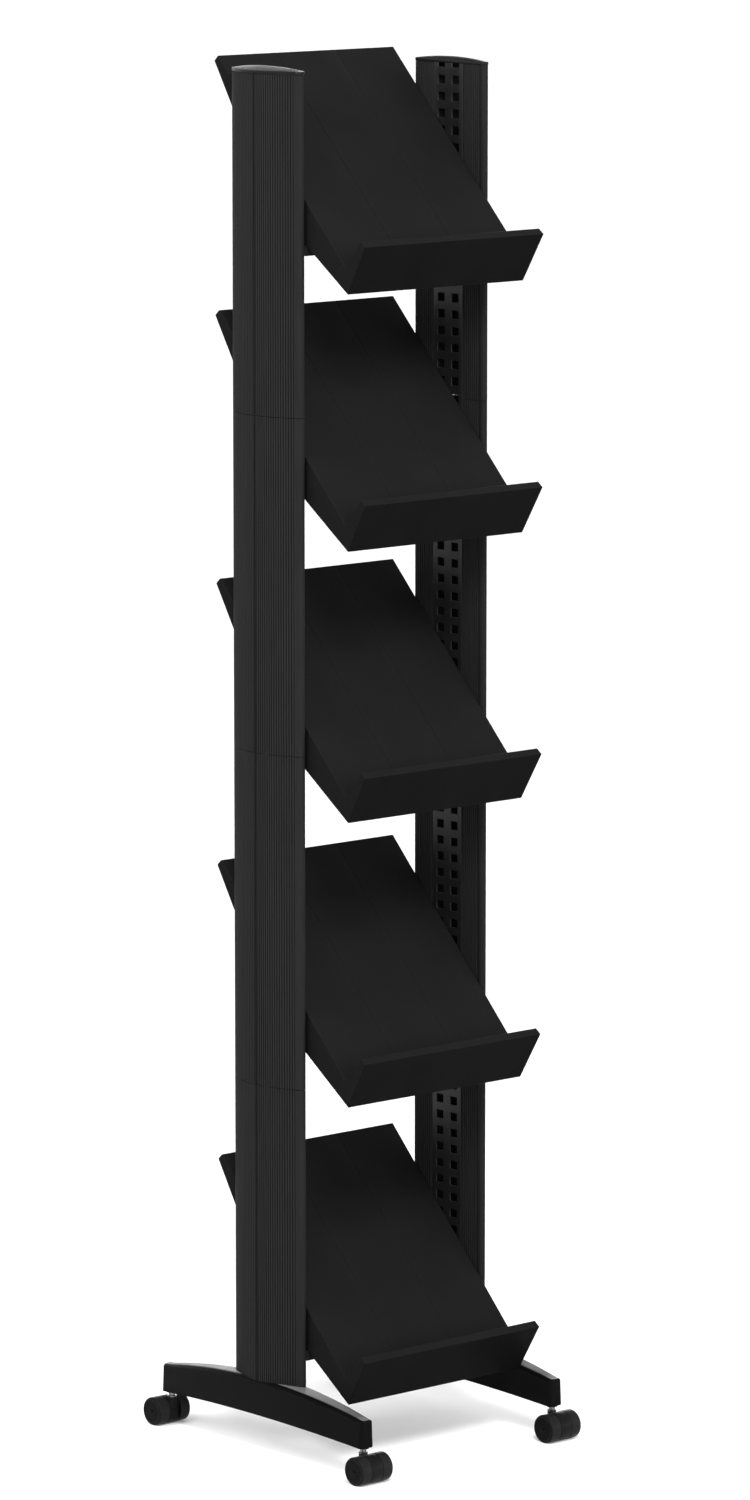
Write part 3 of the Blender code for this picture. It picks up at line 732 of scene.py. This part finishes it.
def make_foot(looks, side_name, side):
    """An arched foot with a recess for the column and bores for the casters and bolts."""
    node = f"foot_{side_name}"
    foot = loft([foot_section(y, half, side) for y, half in foot_stations()],
                f"arched_foot_{side_name}", looks["foot_plastic"])
    above, below = 110.0, 30.0     # heights past the foot's two faces
    cutters = [prism(sided(column_outline(0.35), side), COLUMN_SEAT, above, "Z", "seat")]
    rail_low, rail_high = node_box(f"rail_{side_name}")
    pocket = rectangle(rail_low.x - 0.5, rail_low.y - 0.5, rail_high.x + 0.5, rail_high.y + 0.5)
    cutters.append(prism(pocket, rail_low.z - GAP, COLUMN_SEAT + 2, "Z", "pocket"))
    for end_name, end in ENDS.items():
        socket_r, socket_high = 5.6, node_box(f"caster_socket_{end_name}_{side_name}")[1].z
        bore = turned([(socket_r, below), (socket_r, socket_high + 0.6)], 32, "Z", "bore")
        bore.location = (side * FOOT_U * MM, end * STEM_Y * MM, 0)
        low, high = node_box(f"foot_bolt_{side_name}_{end_name}")
        middle = (low + high) / 2
        head_r, shank_r = 5.2, 3.3
        shoulder, top = low.z + BOLT_HEAD + 0.5, high.z - 7.0
        sink = turned([(head_r, below), (head_r, shoulder), (shank_r, shoulder), (shank_r, top)],
                      28, "Z", "sink")
        sink.location = (middle.x * MM, middle.y * MM, 0)
        cutters += [bore, sink]
    combine(foot, cutters, "DIFFERENCE")
    dress(smooth(foot, 38), RACK, "foot_plastic", node)


def make_foot_bolt(looks, side_name, end_name):
    """A socket-head bolt, seen from below in the foot's counterbore."""
    node = f"foot_bolt_{side_name}_{end_name}"
    low, high = node_box(node)
    head_r, shank_r = (high.x - low.x) / 2, 2.7
    bolt = turned([(head_r - 0.5, low.z), (head_r, low.z + 0.5), (head_r, low.z + BOLT_HEAD),
                   (shank_r, low.z + BOLT_HEAD), (shank_r, high.z - 0.6),
                   (shank_r - 0.6, high.z)],
                  32, "Z", f"socket_head_bolt_{side_name}_{end_name}", looks["bright_steel"])
    key = turned([(2.6, low.z - 1), (2.6, low.z + 2.2)], 6, "Z", "key")
    combine(bolt, [key], "DIFFERENCE")
    middle = (low + high) / 2
    bolt.location = (middle.x * MM, middle.y * MM, 0)
    dress(smooth(bolt), RACK, "bright_steel", node)


# ----------------------------------------------------------------------- trays

def tray_outline():
    """The tray from the side, anticlockwise as (y, z)."""
    return [KEEL, CHEEK_LOW, FLOOR_BACK, FLOOR_TOP, VALLEY, LIP_INNER_TOP, LIP_OUTER_TOP]


def rounded_plate(outline, half, radius, corner, name, look):
    """Extrude an outline both ways along X, with all its edges and corners rounded."""
    steps = 4
    rings = []                     # (x, how far the outline is drawn in)
    for k in range(steps + 1):
        angle = radians(90 * k / steps)
        rings.append((half - radius * (1 - sin(angle)), radius * (1 - cos(angle))))
    both = [(-x, d) for x, d in reversed(rings)] + rings
    loops = [lay(fillet(inset(outline, d), corner * (1 - 0.4 * d / radius)), x, "X")
             for x, d in both]
    return loft(loops, name, look)


def parallel(a, b, distance):
    """The line through a and b, moved to its right by distance."""
    run = Vector(b) - Vector(a)
    step = Vector((run.y, -run.x)).normalized() * distance
    return Vector(a) + step, Vector(b) + step


def crossing(first, second):
    """Where two lines cross, each given by two of its points."""
    (a, b), (c, d) = first, second
    r, s, gap = b - a, d - c, c - a
    return a + r * ((gap.x * s.y - gap.y * s.x) / (r.x * s.y - r.y * s.x))


def tray_hollow(floor_wall):
    """The space under the floor and inside the lip, run out past the lower edges."""
    walls = [parallel(KEEL, LIP_OUTER_TOP, TRAY_WALL),
             parallel(LIP_OUTER_TOP, LIP_INNER_TOP, TRAY_WALL),
             parallel(LIP_INNER_TOP, VALLEY, TRAY_WALL),
             parallel(VALLEY, FLOOR_TOP, floor_wall),
             parallel(FLOOR_TOP, FLOOR_BACK, TRAY_WALL)]
    corners = [crossing(a, b) for a, b in zip(walls, walls[1:])]
    start, stop, past = walls[0], walls[-1], 12
    front = start[0] + (start[0] - start[1]).normalized() * past
    rear = stop[1] + (stop[1] - stop[0]).normalized() * past
    outside = [(130.0, 60.0), (-100.0, -60.0)]
    return [tuple(point) for point in [front, *corners, rear]] + outside


def floor_line(x):
    """A cutter for a fine groove up the floor, steep on its left and gentle on its right."""
    run = (Vector(FLOOR_TOP) - Vector(VALLEY)).normalized()
    start, stop = Vector(VALLEY) - run * 2.0, Vector(FLOOR_TOP) + run * 12.0
    up = Vector((-run.y, run.x))
    # each point is sideways from x and up from the floor
    section = ((-1.2, 1.0), (-1.1, 0.0), (-0.9, -1.0), (-0.6, -1.3), (1.2, 0.0), (1.3, 1.0))
    rings = [[(x + dx, *(point + up * dz)) for dx, dz in section] for point in (start, stop)]
    return loft(rings, "floor_line")


def hooks(root_u, rows):
    """Tongues through the rails' webs, each with a lip that drops behind the web."""
    behind, wide, thick, drop, lip = 139.8, 8.0, 4.0, 4.4, 2.0
    made = []
    for way in SIDES.values():
        for y, row in rows:
            low = row + GAP - HOLE_HIGH / 2
            shape = [(root_u, low), (behind, low), (behind, low - drop), (behind + lip, low - drop),
                     (behind + lip, low + thick), (root_u, low + thick)]
            made.append(prism(sided(shape, way), y - wide / 2, y + wide / 2, "Y", "hook"))
    return made


def flare_lip(tray):
    """Widen the lip steadily from the keel line to its top."""
    keel, top = Vector(KEEL), Vector(LIP_OUTER_TOP)
    rise = (top - keel).normalized()
    for vertex in tray.data.vertices:
        y, z = vertex.co.y / MM, vertex.co.z / MM
        on_lip, at_end = y < VALLEY[0] - 1.0, abs(vertex.co.x) > (TRAY_HALF - 1.5) * MM
        if on_lip and at_end:
            share = max(0.0, (Vector((y, z)) - keel).dot(rise) / (top - keel).length)
            vertex.co.x += copysign(LIP_FLARE * share * MM, vertex.co.x)


def make_tray_mesh(look):
    """A moulded tray with rounded edges, hollow and ribbed underneath."""
    tray = rounded_plate(tray_outline(), TRAY_HALF, TRAY_ROUND, TRAY_CORNER, "tray_shape", look)
    inner, half_rib = TRAY_HALF - TRAY_WALL, TRAY_WALL / 2
    bays = ((-inner, -RIB_X - half_rib), (-RIB_X + half_rib, RIB_X - half_rib),
            (RIB_X + half_rib, inner))
    cutters = [prism(tray_hollow(TRAY_WALL), low, high, "X", "bay") for low, high in bays]
    cutters.append(prism(tray_hollow(RIB_DEEP), -inner, inner, "X", "under_ribs"))
    cutters += [floor_line(x) for x in (-RIB_X, RIB_X)]
    combine(tray, cutters, "DIFFERENCE")
    flare_lip(tray)
    rows = [(-HOLE_Y, TRAY_ROW + HOLE_PITCH * k) for k in (0, 1)]
    rows += [(HOLE_Y, TRAY_ROW + HOLE_PITCH * k) for k in (1, 2)]
    combine(tray, hooks(inner + 0.6, rows), "UNION")
    smooth(tray, 34, flat_from=60.0)
    mesh = tray.data
    bpy.data.objects.remove(tray)
    return mesh


def make_trays(looks):
    """Five trays, which share one mesh."""
    mesh = make_tray_mesh(looks["tray_plastic"])
    for number in range(1, TRAYS + 1):
        node = f"tray_{number}"
        tray = bpy.data.objects.new(f"moulded_tray_{number}", mesh)
        tray.location.z = node_box(node)[0].z * MM
        bpy.context.scene.collection.objects.link(tray)
        dress(tray, RACK, "tray_plastic", node)


# ----------------------------------------------------------------- cross beams

def make_beam(looks, label):
    """A folded channel with rounded bends, hooked end plates and a tab beside each column."""
    node = f"cross_beam_{label}"
    low, high = (corner.z for corner in node_box(node))
    fold, rear = BEAM_FRONT + BEAM_SHEET, BEAM_FRONT + BEAM_FLANGE
    channel = [(BEAM_FRONT, low), (rear, low), (rear, low + BEAM_SHEET), (fold, low + BEAM_SHEET),
               (fold, high - BEAM_SHEET), (rear, high - BEAM_SHEET), (rear, high),
               (BEAM_FRONT, high)]
    beam = prism(fillet(channel, 0.7, 3), -BEAM_HALF, BEAM_HALF, "X", f"folded_beam_{label}",
                 looks["beam_steel"])
    plate = fillet(rectangle(BEAM_FRONT, low, BEAM_REAR, high), 1.2)
    tab = fillet(rectangle(BEAM_HALF - 1, low, TAB_END, low + TAB_HIGH), 1.2)
    parts = []
    for way in SIDES.values():
        near, far = sorted((way * (BEAM_HALF - BEAM_SHEET), way * BEAM_HALF))
        parts.append(prism(plate, near, far, "X", "plate"))
        parts.append(prism(sided(tab, way), BEAM_FRONT, fold, "Y", "tab"))
    rows = [(y, low + BEAM_ROW + HOLE_PITCH * k) for k in (0, 1) for y in (-HOLE_Y, HOLE_Y)]
    combine(beam, parts + hooks(BEAM_HALF - 1.0, rows), "UNION")
    dress(smooth(beam, 30, flat_from=60.0), RACK, "beam_steel", node)


# --------------------------------------------------------------------- casters

def make_wheel(looks, tag, wheel_name, way):
    """A wheel with a tread, a fine line, and a domed cap disc on its outer face."""
    node = f"wheel_{tag}_{wheel_name}"
    low, high = node_box(node)
    middle = (low + high) / 2
    inner, outer = WHEEL_INNER, WHEEL_OUTER
    tread = [(WHEEL_R - 1.2, inner), (WHEEL_R - 0.35, inner + 0.15), (WHEEL_R, inner + 0.6)]
    shoulder = [(WHEEL_R - SHOULDER_R + SHOULDER_R * cos(radians(a)),
                 outer - SHOULDER_R + SHOULDER_R * sin(radians(a)))
                for a in (0, 18, 36, 54, 72, 88)]
    face = [(WHEEL_R - 3.4, outer - 0.5), (WHEEL_R - 4.2, outer - 0.6), (8.0, outer - 0.35),
            (4.0, outer - 0.25), (3.6, outer - 0.7), (2.1, outer - 0.7)]
    hub = [(2.1, inner), (4.6, inner), (4.9, inner + 0.9), (11.5, inner + 0.9), (12.0, inner)]
    profile = [(r, way * h) for r, h in tread + shoulder + face + hub]
    wheel = turned(profile, 72, "X", f"detailed_wheel_{tag}_{wheel_name}",
                   looks["wheel_plastic"], ring=True)
    side = 1 if middle.x > 0 else -1
    wheel.location = (side * FOOT_U * MM, middle.y * MM, middle.z * MM)
    dress(smooth(wheel, 30), node, "wheel_plastic", node)


def make_stem(looks, tag, side, end):
    """The plated stem with its collar."""
    node = f"caster_stem_{tag}"
    low, high = node_box(node)
    stem = turned([(5.0, low.z), (5.7, low.z + 0.4), (5.7, low.z + 1.6), (5.2, low.z + 2.1),
                   (3.9, low.z + 2.2), (3.9, high.z - 1), (3.0, high.z)],
                  40, "Z", f"plated_stem_{tag}", looks["bright_steel"])
    stem.location = (side * FOOT_U * MM, end * STEM_Y * MM, 0)
    dress(smooth(stem), f"caster_{tag}", "bright_steel", node)


def hood_outline(end):
    """A disc round the axle, cut flat below and on the stem's side, as (y, z)."""
    low = degrees(asin((HOOD_LOW - WHEEL_R) / HOOD_R))
    back = degrees(acos((HOOD_BACK - TRAIL) / HOOD_R))
    axle = (TRAIL, WHEEL_R)
    points = arc(axle, HOOD_R, low, back, 30) + arc(axle, HOOD_R, 360 - back, 180 - low, 2)
    return [(end * t, z) for t, z in points[::end]]


def make_hood(looks, tag, side, end):
    """The hood between two wheels, with softened edges and a boss under the stem."""
    node = f"caster_body_{tag}"
    hood = rounded_plate(hood_outline(end), HOOD_HALF, 0.4, 0.8, f"wheel_hood_{tag}",
                         looks["body_plastic"])
    top = node_box(f"caster_stem_{tag}")[0].z - GAP
    boss = turned([(BOSS_R - 1.6, BOSS_LOW), (BOSS_R - 0.4, BOSS_LOW + 0.8),
                   (BOSS_R, BOSS_LOW + 2.2), (BOSS_R, top - 0.4), (BOSS_R - 0.4, top)],
                  36, "Z", "boss")
    bore = turned([(2.3, -HOOD_HALF - 1), (2.3, HOOD_HALF + 1)], 24, "X", "bore")
    bore.location = (0, end * TRAIL * MM, WHEEL_R * MM)
    combine(hood, [boss], "UNION")
    combine(hood, [bore], "DIFFERENCE")
    hood.location = (side * FOOT_U * MM, end * STEM_Y * MM, 0)
    dress(smooth(hood, 34), f"caster_{tag}", "body_plastic", node)


def make_caster(looks, side_name, side, end_name, end):
    """The two wheels, the stem and the hood of one caster."""
    tag = f"{end_name}_{side_name}"
    for wheel_name, way in (("outer", side), ("inner", -side)):
        make_wheel(looks, tag, wheel_name, way)
    make_stem(looks, tag, side, end)
    make_hood(looks, tag, side, end)


# -------------------------------------------------------------- light and view

def finish_frame_nodes(looks):
    """The nodes that stay visible take the finish of their own slot."""
    for subpart in frame["record"]["subparts"]:
        item = frame["nodes"][subpart["node"]]
        item.data.materials.clear()
        item.data.materials.append(looks[subpart["material_slot"]])


def make_floor():
    """A round floor that reaches past the horizon of the view."""
    radius, sides = 70000.0, 96
    bm = bmesh.new()
    bm.faces.new([bm.verts.new((x, y, 0)) for x, y in arc((0, 0), radius, 0, 360, sides)[:-1]])
    floor = finish_mesh(bm, "studio_floor", floor_paint())


def make_softbox(name, place, aim, size, power):
    """A rectangular lamp of size metres and power watts, pointed at aim."""
    data = bpy.data.lights.new(name, "AREA")
    data.shape = "RECTANGLE"
    data.size, data.size_y = size
    data.energy = power
    lamp = bpy.data.objects.new(name, data)
    lamp.location = place
    lamp.rotation_mode = "QUATERNION"
    lamp.rotation_quaternion = (Vector(aim) - Vector(place)).to_track_quat("-Z", "Y")
    bpy.context.scene.collection.objects.link(lamp)


def make_backdrop(horizon, zenith):
    """A white dome round the set, brightest low down."""
    world = bpy.data.worlds.new("studio")
    world.use_nodes = True
    tree = world.node_tree
    place = tree.nodes.new("ShaderNodeTexCoord")
    parts = tree.nodes.new("ShaderNodeSeparateXYZ")
    level = tree.nodes.new("ShaderNodeMapRange")
    level.interpolation_type = "SMOOTHSTEP"
    level.inputs["From Min"].default_value = 0.3
    level.inputs["From Max"].default_value = 0.55
    level.inputs["To Min"].default_value = horizon
    level.inputs["To Max"].default_value = zenith
    sky = tree.nodes["Background"]
    sky.inputs["Color"].default_value = (1, 1, 1, 1)
    tree.links.new(place.outputs["Generated"], parts.inputs["Vector"])
    tree.links.new(parts.outputs["Z"], level.inputs["Value"])
    tree.links.new(level.outputs["Result"], sky.inputs["Strength"])
    bpy.context.scene.world = world


def make_light():
    """A white studio with one softbox to the front left and one to the left."""
    make_backdrop(horizon=3.4, zenith=0.65)
    make_softbox("key", place=(-1.5, -2.4, 3.0), aim=(0, 0, 0.8), size=(1.1, 1.1), power=120)
    make_softbox("side", place=(-3.0, 0.1, 2.6), aim=(0, 0, 1.1), size=(1.2, 1.6), power=60)
    bpy.context.scene.view_settings.view_transform = "Standard"


def make_camera():
    """The view of the rack from its front left, a little from above."""
    data = bpy.data.cameras.new("camera")
    data.sensor_width = 36.0
    data.lens = 167.256
    data.clip_end = 200.0
    azimuth, elevation = radians(-41.035), radians(9.109)
    back = Vector((sin(azimuth) * cos(elevation), -cos(azimuth) * cos(elevation), sin(elevation)))
    right = (-back).cross(Vector((0, 0, 1))).normalized()
    up = right.cross(-back)
    camera = bpy.data.objects.new("camera", data)
    camera.matrix_world = Matrix((right, up, back)).transposed().to_4x4()
    camera.location = (-5.39118, -6.21978, 2.15781)
    bpy.context.scene.collection.objects.link(camera)
    bpy.context.scene.camera = camera


def main():
    make_camera()
    make_light()
    make_floor()
    looks = make_looks()
    finish_frame_nodes(looks)
    for side_name, side in SIDES.items():
        make_covers(looks, side_name, side)
        make_rail(looks, side_name, side)
        make_cap(looks, side_name, side)
        make_foot(looks, side_name, side)
        for end_name, end in ENDS.items():
            make_foot_bolt(looks, side_name, end_name)
            make_caster(looks, side_name, side, end_name, end)
    make_trays(looks)
    for label in ("bottom", "top"):
        make_beam(looks, label)


main()
